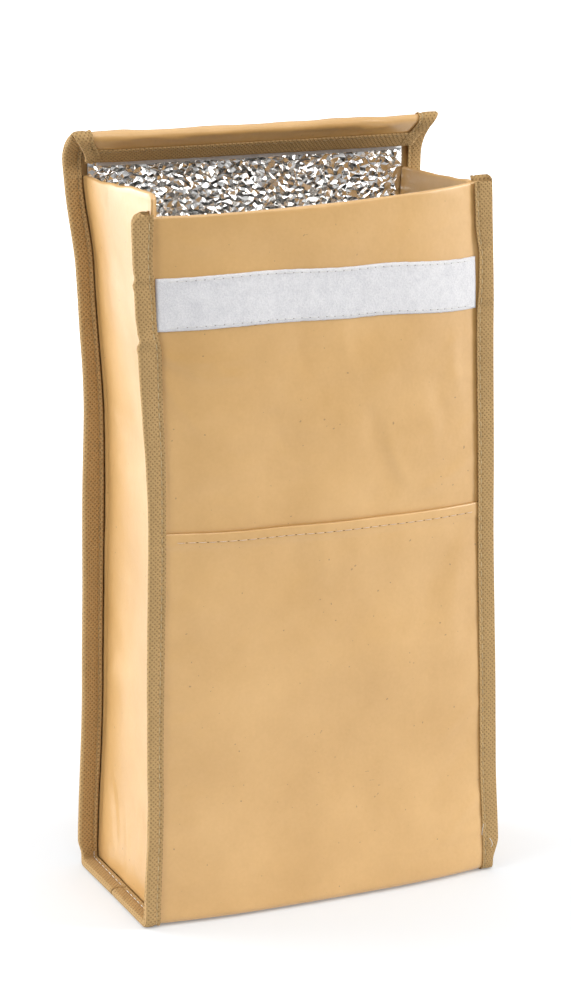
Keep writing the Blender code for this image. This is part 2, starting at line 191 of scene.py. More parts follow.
class Run:
    """The outer panel's path in side view: front rim, bottom, back, and over to the flap's end."""

    def __init__(self):
        half, low, radius = DEPTH / 2, UNDERSIDE, BOTTOM_RADIUS
        quarter = math.pi / 2
        self.parts = []
        self.length = 0.0
        self.straight((-half, FRONT_RIM), (0, -1), FRONT_RIM - low - radius)
        self.front_fold = self.length
        self.arc((radius - half, low + radius), radius, math.pi, quarter)
        self.straight((radius - half, low), (1, 0), DEPTH - 2 * radius)
        self.arc((half - radius, low + radius), radius, -quarter, quarter)
        self.back_fold = self.length
        self.straight((half, low + radius), (0, 1), NECK_START - low - radius)
        self.flap_fold = self.length
        self.arc((half - NECK_RADIUS, NECK_START), NECK_RADIUS, 0.0, NECK_TURN)
        self.onward(NECK_TURN, NECK_RUN)
        y, z, inward_y, inward_z = self.at(self.length)
        self.flap_roll = self.length
        centre = (float(y + inward_y * FOLD_RADIUS), float(z + inward_z * FOLD_RADIUS))
        self.arc(centre, FOLD_RADIUS, NECK_TURN, FOLD_TURN)
        self.onward(NECK_TURN + FOLD_TURN, FLAP_RUN)

    def onward(self, turned, size):
        y, z, _, _ = self.at(self.length)
        self.straight((float(y), float(z)), (-math.sin(turned), math.cos(turned)), size)

    def straight(self, start, heading, size):
        def place(s):
            return (
                start[0] + heading[0] * s,
                start[1] + heading[1] * s,
                -heading[1] + 0 * s,
                heading[0] + 0 * s,
            )

        self.add(place, size)

    def arc(self, centre, radius, begin, turn):
        def place(s):
            angle = begin + s / radius
            out_y, out_z = np.cos(angle), np.sin(angle)
            return centre[0] + radius * out_y, centre[1] + radius * out_z, -out_y, -out_z

        self.add(place, radius * turn)

    def add(self, place, size):
        self.parts.append((self.length, size, place))
        self.length += size

    def at(self, s):
        """The outer face's y and z at these distances along the path, and the inward direction there."""
        s = np.clip(np.asarray(s, float), 0, self.length)
        found = [np.zeros(s.shape) for _ in range(4)]
        for start, size, place in self.parts:
            here = (s >= start) & (s <= start + size + 1e-9)
            for out, value in zip(found, place(s - start)):
                np.copyto(out, value, where=here)
        return found


RUN = Run()


def sag(x, y):
    """The bottom's middle sags to the floor between the bound seams."""
    return UNDERSIDE * (1 - ramp(np.abs(x), 62, 80)) * (1 - ramp(np.abs(y), 28, 38))


def flange_share(x, s):
    """How wide the seam flanges are where they turn the bottom corners."""
    front = np.where(x > 0, 0.35, 0.0) * (1 - ramp(np.abs(s - RUN.front_fold), 0, 12))
    return 1 - front - 0.14 * (1 - ramp(np.abs(s - RUN.back_fold), 0, 8))


def squeeze(s):
    """The layers under the flap's sharp fold are pressed thin."""
    begin, end = RUN.flap_roll, RUN.flap_roll + FOLD_RADIUS * FOLD_TURN
    return 1 - FOLD_SQUEEZE * ramp(s, begin - 8, begin) * (1 - ramp(s, end, end + 8))


def body(x, s, layer):
    """Points of the long panel's layers: across at x, at distance s along the path, and layer deep.

    Before s = 0 the path goes on straight up, past the front rim.
    """
    x, s, layer = np.broadcast_arrays(*(np.asarray(a, float) for a in (x, s, layer)))
    y, z, inward_y, inward_z = RUN.at(s)
    z = z + np.maximum(-s, 0)
    layer = np.where(layer > 0, layer * squeeze(s), layer)
    beyond = np.maximum(np.abs(x) - SEAM, 0) * flange_share(x, s)
    x = np.sign(x) * (np.minimum(np.abs(x), SEAM) + beyond)
    y = y + inward_y * layer
    z = z + inward_z * layer
    z = z - np.where(z < BOTTOM_RADIUS, sag(x, y), 0)
    z = np.where(z < PRESSED, PRESSED * np.exp(np.minimum(z - PRESSED, 0) / PRESSED), z)
    x = x * (1 - FLAP_PINCH * ramp(s, RUN.length - PINCH_LENGTH, RUN.length))
    return slump(x, y, z)


def wall(side, y, z, depth):
    """Points of a gusset's wall, depth inward from its outer face."""
    x, y, z, depth = np.broadcast_arrays(side, *(np.asarray(a, float) for a in (y, z, depth)))
    rise = between(LEFT_RIM if side < 0 else RIGHT_RIM, y)
    flare = FRONT_FLARE * (1 - ramp(y, -43.5, -37)) * ramp(z, 240, GUSSET_RIM) if side < 0 else 0.0
    return slump(side * (SEAM - depth + flare), y, z + rise * z / GUSSET_RIM)


# ---------------- making meshes


def new_mesh(name, points, faces, material, uv=None, smooth=True):
    """A mesh object from points in millimetres. uv is one (u, v) for each point, in millimetres too."""
    data = bpy.data.meshes.new(name)
    data.from_pydata((np.asarray(points) * MM).tolist(), [], [tuple(map(int, f)) for f in faces])
    data.materials.append(material)
    if uv is not None:
        loops = np.empty(len(data.loops), np.int32)
        data.loops.foreach_get("vertex_index", loops)
        layer = data.uv_layers.new(name="cut")
        layer.data.foreach_set("uv", np.asarray(uv, np.float32)[loops].ravel())
    data.polygons.foreach_set("use_smooth", [smooth] * len(data.polygons))
    data.update()
    obj = bpy.data.objects.new(name, data)
    bpy.context.scene.collection.objects.link(obj)
    return obj


def grid_faces(rows, columns):
    i, j = np.meshgrid(np.arange(rows - 1), np.arange(columns - 1), indexing="ij")
    a = (i * columns + j).ravel()
    return np.stack([a, a + 1, a + columns + 1, a + columns], axis=1)


def closed_sheet(name, outer, inner, uv, material, flip=False):
    """A closed sheet from two grids of points, rows by columns by 3, with one uv grid for both."""
    rows, columns = outer.shape[:2]
    count = rows * columns
    index = np.arange(count).reshape(rows, columns)
    faces = grid_faces(rows, columns)
    rim = np.concatenate([index[0, :-1], index[:-1, -1], index[-1, :0:-1], index[:0:-1, 0]])
    after = np.roll(rim, -1)
    sides = np.stack([after, rim, rim + count, after + count], axis=1)
    every = np.concatenate([faces, faces[:, ::-1] + count, sides])
    if flip:
        every = every[:, ::-1]
    points = np.concatenate([outer.reshape(-1, 3), inner.reshape(-1, 3)])
    cut = np.concatenate([uv.reshape(-1, 2)] * 2)
    return new_mesh(name, points, every, material, cut)


def spread(start, end, step):
    return np.linspace(start, end, max(int(round((end - start) / step)), 1) + 1)


def flat_uv(rows, columns):
    return np.stack(np.meshgrid(rows, columns, indexing="ij"), axis=-1)[..., ::-1]


def across_panel():
    """Places across a panel that has both side flanges."""
    return np.concatenate([[-SEAM - FLANGE, -SEAM - 3], spread(-SEAM, SEAM, 1.5), [SEAM + 3, SEAM + FLANGE]])


def stand_for(obj, node):
    """Hangs a soft piece under the root and hides the CAD part that it stands for."""
    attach(obj, "root")
    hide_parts(node)


# ---------------- materials


class Nodes:
    """A small helper that builds one material's node tree."""

    def __init__(self, name):
        self.material = bpy.data.materials.new(name)
        self.material.use_nodes = True
        self.tree = self.material.node_tree
        self.shader = self.tree.nodes["Principled BSDF"]

    def node(self, kind, **settings):
        made = self.tree.nodes.new(kind)
        for key, value in settings.items():
            setattr(made, key, value)
        return made

    def link(self, source, target):
        self.tree.links.new(source, target)

    def feed(self, socket, value):
        """Sets a socket to a colour or a number, or links an output to it. None leaves it alone."""
        if isinstance(value, tuple):
            socket.default_value = (*value, 1)
        elif isinstance(value, (int, float)):
            socket.default_value = value
        elif value is not None:
            self.link(value, socket)

    def cut(self):
        return self.node("ShaderNodeUVMap", uv_map="cut").outputs["UV"]

    def place(self):
        return self.node("ShaderNodeTexCoord").outputs["Object"]

    def noise(self, where, scale, detail, roughness):
        made = self.node("ShaderNodeTexNoise")
        made.inputs["Scale"].default_value = scale
        made.inputs["Detail"].default_value = detail
        made.inputs["Roughness"].default_value = roughness
        self.link(where, made.inputs["Vector"])
        return made.outputs["Fac"]

    def maths(self, operation, a, b=None, c=None):
        made = self.node("ShaderNodeMath", operation=operation)
        for socket, value in zip(made.inputs, (a, b, c)):
            self.feed(socket, value)
        return made.outputs["Value"]

    def ramp(self, factor, stops):
        made = self.node("ShaderNodeValToRGB")
        elements = made.color_ramp.elements
        while len(elements) < len(stops):
            elements.new(0.5)
        for element, (place, colour) in zip(elements, stops):
            element.position = place
            element.color = (*colour, 1)
        self.link(factor, made.inputs["Fac"])
        return made.outputs["Color"]

    def mix(self, factor, a, b):
        made = self.node("ShaderNodeMix", data_type="RGBA")
        for socket, value in ((made.inputs[0], factor), (made.inputs[6], a), (made.inputs[7], b)):
            self.feed(socket, value)
        return made.outputs[2]

    def bump(self, height, distance, strength, under=None):
        made = self.node("ShaderNodeBump")
        made.inputs["Distance"].default_value = distance
        made.inputs["Strength"].default_value = strength
        self.link(height, made.inputs["Height"])
        if under:
            self.link(under, made.inputs["Normal"])
        return made.outputs["Normal"]

    def finish(self, colour=None, roughness=None, normal=None, **constants):
        for name, value in (("Base Color", colour), ("Roughness", roughness), ("Normal", normal)):
            self.feed(self.shader.inputs[name], value)
        for name, value in constants.items():
            self.shader.inputs[name.replace("_", " ")].default_value = value
        return self.material


def paper_material():
    """Paper-look laminate: a satin kraft tone with faint clouds, fibres and a few specks."""
    n = Nodes("paper_cloth")
    where = n.place()
    clouds = n.noise(where, 17, 4, 0.6)
    fibres = n.noise(where, 600, 3, 0.6)
    specks = n.noise(where, 620, 0, 0.5)
    base = n.ramp(clouds, ((0.3, (0.578, 0.330, 0.107)), (0.7, (0.708, 0.428, 0.163))))
    base = n.mix(0.15, base, n.ramp(fibres, ((0.3, (0.58, 0.335, 0.115)), (0.7, (0.74, 0.46, 0.20)))))
    dots = n.ramp(specks, ((0.845, (0, 0, 0)), (0.865, (1, 1, 1))))
    base = n.mix(n.maths("MULTIPLY", dots, 0.6), base, (0.26, 0.14, 0.05))
    rough = n.maths("MULTIPLY_ADD", clouds, 0.16, 0.30)
    fine = n.bump(fibres, 0.00006, 0.4)
    soft = n.bump(n.noise(where, 60, 3, 0.6), 0.0012, 0.40, fine)
    return n.finish(base, rough, soft, Specular_IOR_Level=0.6, Coat_Weight=0.60, Coat_Roughness=0.30)


def tape_material():
    """Embossed non-woven tape: a staggered lattice of small bonded pits in a matt felt."""
    n = Nodes("binding_tape")
    split = n.node("ShaderNodeSeparateXYZ")
    n.link(n.cut(), split.inputs["Vector"])
    u, v = split.outputs["X"], split.outputs["Y"]
    waves = [
        n.maths("COSINE", n.maths("MULTIPLY", axis, 2 * math.pi / period))
        for axis, period in ((u, 2.1), (v, 2.3))
    ]
    lattice = n.maths("MULTIPLY", waves[0], waves[1])
    pits = n.maths("SMOOTH_MIN", n.maths("MULTIPLY_ADD", lattice, -1.6, 1.25), 1.0, 0.2)
    felt = n.noise(n.place(), 1500, 3, 0.7)
    tone = n.noise(n.place(), 45, 3, 0.6)
    cloth = n.ramp(tone, ((0.3, (0.430, 0.272, 0.112)), (0.7, (0.505, 0.325, 0.138))))
    cloth = n.mix(0.35, cloth, n.ramp(felt, ((0.3, (0.31, 0.19, 0.075)), (0.7, (0.57, 0.375, 0.17)))))
    pit = n.ramp(pits, ((0.0, (0, 0, 0)), (0.9, (1, 1, 1))))
    colour = n.mix(pit, (0.315, 0.196, 0.080), cloth)
    normal = n.bump(felt, 0.0001, 0.5, n.bump(pits, 0.0003, 0.8))
    return n.finish(colour, 0.85, normal, Specular_IOR_Level=0.3)


def foil_material():
    """Crumpled foil: the facets are in the mesh, and only a trace of texture is in the bump."""
    n = Nodes("foil_lining")
    where = n.place()
    fine = n.bump(n.noise(where, 900, 3, 0.6), 0.00012, 0.35)
    rough = n.maths("MULTIPLY_ADD", n.noise(where, 260, 2, 0.5), 0.16, 0.10)
    return n.finish((0.95, 0.945, 0.93), rough, fine, Metallic=1.0)


def foam_material():
    n = Nodes("foam_edge")
    grain = n.noise(n.place(), 900, 2, 0.5)
    colour = n.ramp(grain, ((0.3, (0.66, 0.66, 0.64)), (0.7, (0.8, 0.8, 0.78))))
    return n.finish(colour, 0.7, n.bump(grain, 0.0001, 0.4))


def strip_material(name, pile):
    """Brushed loop pile, or the stiffer hook side."""
    n = Nodes(name)
    where = n.place()
    fuzz = n.noise(where, 1100 if pile else 1700, 4, 0.75)
    clumps = n.noise(where, 170, 3, 0.6)
    both = n.maths("ADD", n.maths("MULTIPLY", fuzz, 0.65), n.maths("MULTIPLY", clumps, 0.35))
    colour = n.ramp(both, ((0.32, (0.62, 0.615, 0.64)), (0.62, (0.80, 0.79, 0.80))))
    normal = n.bump(both, 0.0007 if pile else 0.0004, 0.8)
    return n.finish(colour, 0.95, normal, Sheen_Weight=0.3)


def thread_material(name, colour):
    n = Nodes(name)
    twist = n.noise(n.place(), 2500, 2, 0.5)
    tone = n.ramp(twist, ((0.3, tuple(c * 0.75 for c in colour)), (0.7, colour)))
    return n.finish(tone, 0.7, n.bump(twist, 0.00005, 0.5))


PAPER = paper_material()
BROWN = tape_material()
FOIL = foil_material()
FOAM_EDGE = foam_material()
LOOP = strip_material("loop_pile", True)
HOOK = strip_material("hook_tape", False)
PALE_THREAD = thread_material("pale_thread", (0.68, 0.53, 0.31))
WHITE_THREAD = thread_material("white_thread", (0.86, 0.84, 0.80))
PAPER_THREAD = thread_material("paper_thread", (0.80, 0.62, 0.44))
DARK_THREAD = thread_material("dark_thread", (0.42, 0.30, 0.15))
# The two hole colours are painted shade: dark marks where the cloth dips between stitches.
HOLE_SHADE = thread_material("painted_hole_shade", (0.20, 0.115, 0.045))
STRIP_HOLE_SHADE = thread_material("strip_painted_hole_shade", (0.36, 0.32, 0.30))


# ---------------- relief of the cloth

# Creases in the front: across and path distance at each end, width, and height outward.
FRONT_CREASES = (
    ((-84, 60), (-52, 78), 2.2, 0.30),
    ((-84, 63), (-40, 66), 2.0, 0.28),
    ((-84, 66), (-62, 104), 2.4, 0.28),
    ((-60, 70), (-42, 76), 2.6, 0.34),
    ((-30, 92), (-24, 112), 3.5, -0.30),
    ((22, 96), (34, 138), 5.0, -0.45),
    ((30, 108), (46, 142), 3.2, 0.40),
    ((46, 142), (84, 128), 3.4, 0.42),
    ((58, 84), (70, 122), 5.5, -0.55),
    ((70, 66), (76, 104), 4.0, 0.45),
    ((84, 70), (62, 76), 1.8, 0.25),
    ((84, 92), (66, 90), 2.0, 0.30),
    ((84, 110), (70, 118), 2.0, 0.26),
    ((-16, 58), (-10, 78), 2.8, -0.26),
    ((8, 56), (16, 84), 3.4, 0.28),
    ((84, 8), (40, 2), 2.4, 0.30),
    ((84, 16), (52, 20), 2.2, 0.26),
    ((-84, 6), (-50, 14), 2.2, 0.22),
)
POCKET_CREASES = (
    ((-4, 152), (0, 190), 4.5, 0.35),
    ((-18, 152), (-14, 186), 5.0, -0.35),
    ((14, 154), (20, 200), 6.0, 0.30),
    ((78, 160), (66, 232), 6.0, 0.45),
    ((60, 170), (54, 250), 7.0, -0.40),
    ((84, 252), (52, 276), 3.5, 0.40),
    ((84, 270), (50, 300), 4.0, -0.40),
    ((84, 300), (60, 322), 3.0, 0.42),
    ((84, 318), (34, 328), 3.0, 0.30),
    ((-84, 240), (-60, 236), 2.0, 0.22),
    ((-84, 286), (-64, 292), 2.2, 0.22),
    ((-84, 322), (-50, 316), 2.6, 0.24),
    ((-10, 250), (0, 300), 6.0, 0.30),
    ((-48, 210), (-40, 280), 7.0, 0.26),
)
GUSSET_CREASES = (
    ((-38, 60), (-16, 40), 3.0, 0.45),
    ((-20, 14), (-6, 52), 3.4, -0.50),
    ((2, 6), (8, 40), 3.0, 0.45),
    ((14, 10), (32, 54), 3.2, -0.45),
    ((-42, 250), (-24, 262), 2.4, 0.30),
    ((40, 236), (24, 228), 2.4, 0.30),
    ((-42, 150), (-28, 156), 2.4, 0.26),
    ((42, 96), (26, 108), 2.6, 0.30),
    ((-6, 120), (2, 300), 7.0, -0.60),
)


def creases(u, v, lines):
    """Soft ridges and grooves along straight lines, each fading out at both ends."""
    total = 0.0
    for (u0, v0), (u1, v1), width, height in lines:
        length = math.hypot(u1 - u0, v1 - v0)
        along = ((u - u0) * (u1 - u0) + (v - v0) * (v1 - v0)) / length
        off = ((v - v0) * (u1 - u0) - (u - u0) * (v1 - v0)) / length
        bend = 0.06 * length * np.sin(np.clip(along / length, 0, 1) * math.pi)
        fade = ramp(along, -0.1 * length, 0.25 * length) * (1 - ramp(along, 0.6 * length, 1.15 * length))
        total = total + height * ridge(off - bend, width) * fade
    return total


def paper_relief(x, s):
    """How far the stiff cloth stands out: broad dents and small rumples, held flat along the seams."""
    edge = 1 - ramp(np.abs(x), 66, 82)
    broad = noise(x, s, 55, 1, 2) * 1.3 + noise(x, s * 0.45, 27, 4, 2) * 0.6
    small = noise(x, s, 15, 6, 3) * 0.22
    return (broad + small) * (0.12 + 0.88 * edge)


def on_floor(s):
    """1 along the bottom, where the cloth lies flat, and 0 on the walls."""
    begin, end = RUN.front_fold, RUN.back_fold
    return ramp(s, begin - 6, begin + 6) * (1 - ramp(s, end - 6, end + 6))


def shared_relief(x, s):
    """The relief that the long panel and the lining behind it both take."""
    flap = ramp(s, RUN.flap_fold, RUN.flap_fold + 20)
    under_tape = ramp(s, RUN.length - 14, RUN.length - 9)
    rolled = noise(x, s, 24, 25, 2) * 0.8 + noise(x * 0.22, s, 5, 26, 2) * 0.8
    rolled = rolled * (1 - under_tape) * (1 - 0.8 * ramp(np.abs(x), 66, 80))
    return paper_relief(x, s) * (1 - on_floor(s)) * (1 - flap) + rolled * flap


def outer_relief(x, s):
    """The long panel also puckers outward at the bottom fold and along its seams."""
    low = ridge(np.abs(s - RUN.front_fold) - 2, 12) * (1 - on_floor(s))
    pucker = (noise(x, s * 0.35, 9, 21, 2) + 0.6) * 0.32 * low
    near_seam = ramp(np.abs(x), 66, 79) * (1 - ramp(np.abs(x), 81, 84))
    seam = (noise(x * 0.4, s, 7, 23, 2) + 0.5) * 0.25 * near_seam
    pocket = creases(x, s, POCKET_CREASES) * (1 - ramp(s, 325, 336))
    return shared_relief(x, s) + pocket + pucker + seam * (1 - on_floor(s))


def pocket_edge(x):
    """The pocket's edge slopes a little, as a distance down from the front rim."""
    return FRONT_RIM - POCKET_RIM + 0.5 + POCKET_SLOPE * x


def pocket_hem(x, s):
    """1 on the pocket's folded hem, and 0 below it."""
    return (1 - ramp(s - pocket_edge(x), POCKET_HEM - 0.5, POCKET_HEM + 0.5)) * (1 - ramp(s, 200, 240))


def pocket_face(x, s):
    """The pocket cloth's depth: it follows the relief, and gapes a little at its mouth."""
    gape = (1 - ramp(s - pocket_edge(x), 0, 55)) * (1 - np.abs(x / SEAM) ** 2).clip(0) * 0.8
    return -outer_relief(x, s) - gape * (1 - ramp(s, 200, 240)) - 0.3 * pocket_hem(x, s)


def outer_body_panel():
    start = FRONT_RIM - POCKET_RIM
    s = np.concatenate(
        [
            spread(start, start + 12, 1.0),
            spread(start + 12, RUN.front_fold - 14, 2.0)[1:],
            spread(RUN.front_fold - 14, RUN.front_fold + 10, 1.2)[1:],
            spread(RUN.front_fold + 10, RUN.back_fold, 2.5)[1:],
            spread(RUN.back_fold, RUN.flap_fold, 2.8)[1:],
            spread(RUN.flap_fold, RUN.length, 0.8)[1:],
        ]
    )
    x = across_panel()
    ss, xx = np.meshgrid(s, x, indexing="ij")
    ss = ss + (pocket_edge(xx) - start) * (1 - ramp(ss, start, start + 60))
    face = pocket_face(xx, ss)
    hem = pocket_hem(xx, ss)
    obj = closed_sheet(
        "outer_body_panel_cloth",
        body(xx, ss, face),
        body(xx, ss, face + CLOTH + 0.35 * hem),
        flat_uv(s, x),
        PAPER,
    )
    stand_for(obj, "outer_body_panel")


def front_relief(x, s):
    """The upper front takes the shared relief, its own creases and a gentle wave at the rim."""
    rim = 1 - ramp(s, 0, 40)
    free = 1 - ramp(np.abs(x), 70, 82)
    wave = noise(x, s * 0.4, 30, 41, 2) * 0.6 * rim * free
    behind = 1 - ramp(s, 140, 156)
    return shared_relief(x, s) + wave + creases(x, s, FRONT_CREASES) * behind


def upper_front_panel():
    """The upper front, with its hem turned in over the lining at the rim."""
    middle = (FRONT_PANEL + FOIL_FACE + HEM_GAP + CLOTH) / 2
    radius = (FOIL_FACE + HEM_GAP + CLOTH - FRONT_PANEL) / 2
    x = across_panel()
    turns = np.linspace(0, math.pi, 9)[1:]
    down = spread(0, FRONT_RIM - POCKET_RIM + HIDDEN_RUN, 1.8)
    foot = spread(0, HEM_DEPTH, 2.5)[1:]
    clipped = np.clip(x, 4.0 - SEAM, SEAM - 4.0)

    def skins(depth):
        rows = [body(x, s, FRONT_PANEL - front_relief(x, s) + depth) for s in down[::-1]]
        reach = radius - depth
        for angle in turns:
            share = angle / math.pi
            across = x * (1 - share) + clipped * share
            relief = front_relief(x, 0.0 * x) * (1 - share)
            row = body(across, 0.0, middle - reach * math.cos(angle) - relief)
            row[..., 2] += reach * math.sin(angle)
            rows.append(row)
        rows += [body(clipped, s, middle + reach - front_relief(x, s) * ramp(s, 0, 6)) for s in foot]
        return np.stack(rows)

    count = len(down) + len(turns) + len(foot)
    uv = flat_uv(np.arange(count) * 2.2, x)
    obj = closed_sheet("upper_front_cloth", skins(0.0), skins(CLOTH), uv, PAPER, flip=True)
    stand_for(obj, "upper_front_panel")


def gusset_relief(side, y, z):
    """How far a side wall stands out: dents, a soft middle crease and rumples near the bottom."""
    seed = 60 if side < 0 else 80
    edge = 1 - ramp(np.abs(y), 34, 43)
    broad = noise(y, z, 48, seed, 2) * 0.9
    small = noise(y, z, 13, seed + 3, 2) * 0.16
    low = noise(y, z, 9, seed + 9, 2) * 0.3 * (1 - ramp(z, 6, 40))
    lines = creases(y, z, GUSSET_CREASES)
    fold = ridge(y - 39.3 - noise(z, 0 * z, 16, seed + 11, 2) * 0.7, 1.0) * 0.55 * ramp(z, 8, 20)
    return (broad + small + lines) * (0.1 + 0.9 * edge) * ramp(z, 2, 25) + low * edge - fold


def gusset(side, word):
    """A side wall: its bottom corners round in, and its rim turns down inside."""
    half = DEPTH / 2
    y = spread(-half + 1.6, half - 1.6, 1.6)
    z = np.concatenate([spread(UNDERSIDE + 1.6, 12, 1.3), spread(12, GUSSET_RIM, 2.2)[1:]])
    middle = (GUSSET_WALL + FOAM + 0.6 + 2 * CLOTH) / 2
    turns = np.linspace(0, math.pi, 9)[1:]
    foot = spread(0, HEM_DEPTH, 2.5)[1:]

    def rounded(y, z):
        """Draws the bottom corners in to the bag's bottom radius."""
        corner_y = np.abs(y) - (half - BOTTOM_RADIUS)
        corner_z = UNDERSIDE + BOTTOM_RADIUS - z
        both = (corner_y > 0) & (corner_z > 0)
        far = np.hypot(corner_y, corner_z)
        shrink = np.where(both & (far > 3.4), 3.4 / np.maximum(far, 1e-6), 1.0)
        y2 = np.where(both, np.sign(y) * (half - BOTTOM_RADIUS + corner_y * shrink), y)
        z2 = np.where(both, UNDERSIDE + BOTTOM_RADIUS - corner_z * shrink, z)
        return y2, z2

    def skins(depth):
        rows = []
        for height in z:
            yy, zz = rounded(y, np.full_like(y, height))
            rows.append(wall(side, yy, zz, GUSSET_WALL - gusset_relief(side, yy, zz) + depth))
        top = gusset_relief(side, y, np.full_like(y, GUSSET_RIM))
        centre = middle * (1 - 0.7 * ramp(np.abs(y), half - 3.2, half - 1.7))
        for angle in turns:
            share = angle / math.pi
            reach = centre - depth
            row = wall(side, y, GUSSET_RIM, centre - reach * math.cos(angle) - top)
            row[..., 2] += reach * math.sin(angle)
            rows.append(row)
        for s in foot:
            under = gusset_relief(side, y, np.full_like(y, GUSSET_RIM - s))
            rows.append(wall(side, y, GUSSET_RIM - s, 2 * centre - depth - under))
        return np.stack(rows)

    count = len(z) + len(turns) + len(foot)
    uv = flat_uv(np.arange(count) * 2.6, y)
    obj = closed_sheet(f"{word}_gusset_cloth", skins(0.0), skins(CLOTH), uv, PAPER, flip=side > 0)
    stand_for(obj, f"{word}_gusset_panel")


# ---------------- the foil lining


def crumpled(name, place, width, rows, across_step, height, seed, flip):
    """A crumpled sheet: scattered points joined into flat facets, over slanted folds that wander.

    rows holds the distance along the cut of each row of points, and place(u, v, out) puts a point of
    the cut in space. The foam behind the foil closes the sheet.
    """
    random = np.random.default_rng(seed)
    coarse = across_step / 3.0
    points, steps = [], []
    for k, v in enumerate(rows):
        gap = rows[min(k + 1, len(rows) - 1)] - rows[max(k - 1, 0)]
        gap = gap / 2 if 0 < k < len(rows) - 1 else gap
        count = max(int(width / (across_step * gap)), 2)
        u = np.arange(count + 1) / count * width
        points.append(np.stack([u, np.full_like(u, v)], axis=1))
        steps.append(np.stack([np.full_like(u, width / count), np.full_like(u, gap)], axis=1))
    points, steps = np.concatenate(points), np.concatenate(steps)
    free = (points[:, 0] > 0.01) & (points[:, 0] < width - 0.01)
    free &= (points[:, 1] > rows[0] + 0.01) & (points[:, 1] < rows[-1] - 0.01)
    points += random.uniform(-0.47, 0.47, points.shape) * steps * free[:, None]
    wander = noise(points[:, 0] * 0.6, points[:, 1] * 0.8, 9, seed, 3)
    phase = (points[:, 1] / (2.6 * coarse) + 1.5 * wander) % 1.0
    ragged = random.uniform(-0.28, 0.28, len(points))
    uneven = 1 + 0.5 * noise(points[:, 0], points[:, 1], 7, seed + 1)
    out = height * coarse * (1 - phase) * uneven + ragged * height
    out = np.maximum(out, 0.0) * free
    found = geometry.delaunay_2d_cdt([Vector(p) for p in points], [], [], 0, 1e-6)
    faces = np.array([f for f in found[2] if len(f) == 3])
    order = np.array([original[0] if original else 0 for original in found[3]])
    points, out = points[order], out[order]
    front = place(points[:, 0], points[:, 1], out)
    rear = place(points[:, 0], points[:, 1], np.full(len(out), HEM_GAP - FOAM))
    a, b, c = (points[faces[:, k]] for k in range(3))
    first, second = b - a, c - a
    turned = first[:, 0] * second[:, 1] - first[:, 1] * second[:, 0] < 0
    faces[turned] = faces[turned][:, ::-1]
    edges = np.concatenate([faces[:, [0, 1]], faces[:, [1, 2]], faces[:, [2, 0]]])
    known = {(int(a), int(b)) for a, b in edges}
    rim = [(int(a), int(b)) for a, b in edges if (int(b), int(a)) not in known]
    count = len(points)
    sides = [[b, a, a + count, b + count] for a, b in rim]
    every = [*faces.tolist(), *(faces[:, ::-1] + count).tolist(), *sides]
    uv = np.concatenate([points, points])
    obj = new_mesh(name, np.concatenate([front, rear]), every, FOIL, uv, smooth=False)
    obj.data.materials.append(FOAM_EDGE)
    slots = [0] * len(faces) + [1] * (len(faces) + len(sides))
    obj.data.polygons.foreach_set("material_index", slots)
    if flip:
        obj.data.flip_normals()
    return obj


def body_lining():
    edge = SEAM - CLOTH - FOAM - 0.9
    start, end = 1.0, RUN.length - 0.5

    def place(u, v, out):
        x = u - edge
        behind_front = v < FRONT_RIM - POCKET_RIM + HIDDEN_RUN
        relief = np.where(behind_front, front_relief(x, v), shared_relief(x, v))
        out = out * (1 - 0.9 * (1 - ramp(v, HEM_DEPTH + 2, HEM_DEPTH + 4)) * (out > 0))
        return body(x, v, FOIL_FACE - relief + out)

    seen = RUN.flap_fold - 150
    rows = np.concatenate([spread(start, seen, 3.6), spread(seen, end, 0.85)[1:]])
    obj = crumpled("body_lining_foil", place, 2 * edge, rows, 3.3, 1.0, 7, False)
    stand_for(obj, "body_lining")


def gusset_foil(side, word):
    half = DEPTH / 2 - 3.0
    low, high = UNDERSIDE + 1.2, GUSSET_RIM - 0.5
    face = CLOTH + HEM_GAP + FOAM

    def place(u, v, out):
        under_hem = ramp(v, GUSSET_RIM - HEM_DEPTH - 4, GUSSET_RIM - HEM_DEPTH - 2)
        out = out * (1 - 0.9 * under_hem * (out > 0))
        return wall(side, u - half, v, face - gusset_relief(side, u - half, v) + out)

    rows = spread(low, high, 1.8)
    obj = crumpled(f"{word}_gusset_foil", place, 2 * half, rows, 2.0, 0.8, 11 + side, side > 0)
    stand_for(obj, f"{word}_gusset_lining")


# ---------------- strips and tapes


def strip_start(x):
    """The loop strip's top edge, as a distance down from the front rim."""
    return between(((-85, 27.0), (-35, 26.6), (20, 29.2), (85, 33.7)), x)


def strip(name, node, start, edge, layer, thick, relief, step, material, reach=1.0):
    """A closing strip with soft pile.

    start(x) is the path distance of its upper edge. Inside the flap's fold the path is shorter than on
    the outer face, and reach makes up for it.
    """
    s = spread(0, STRIP_HEIGHT - 0.4, step)
    x = spread(-edge, edge, step * 1.3)
    ss, xx = np.meshgrid(s, x, indexing="ij")
    rim = np.minimum(np.minimum(ss, s[-1] - ss), edge - np.abs(xx))
    rough = noise(xx, ss, 2.2, 93, 2) * 0.12 * (1 - ramp(rim, 0, 1.5))
    drop = 0.5 * thick * (1 - ramp(rim, 0, 1.0))
    pile = noise(xx, ss, 1.3, 91, 2) * 0.10 * thick
    path = ss * reach + start(xx) + rough
    under = relief(xx, path)
    obj = closed_sheet(
        name,
        body(xx, path, layer - under + drop - pile),
        body(xx, path, layer - under + thick),
        flat_uv(s, x),
        material,
    )
    stand_for(obj, node)


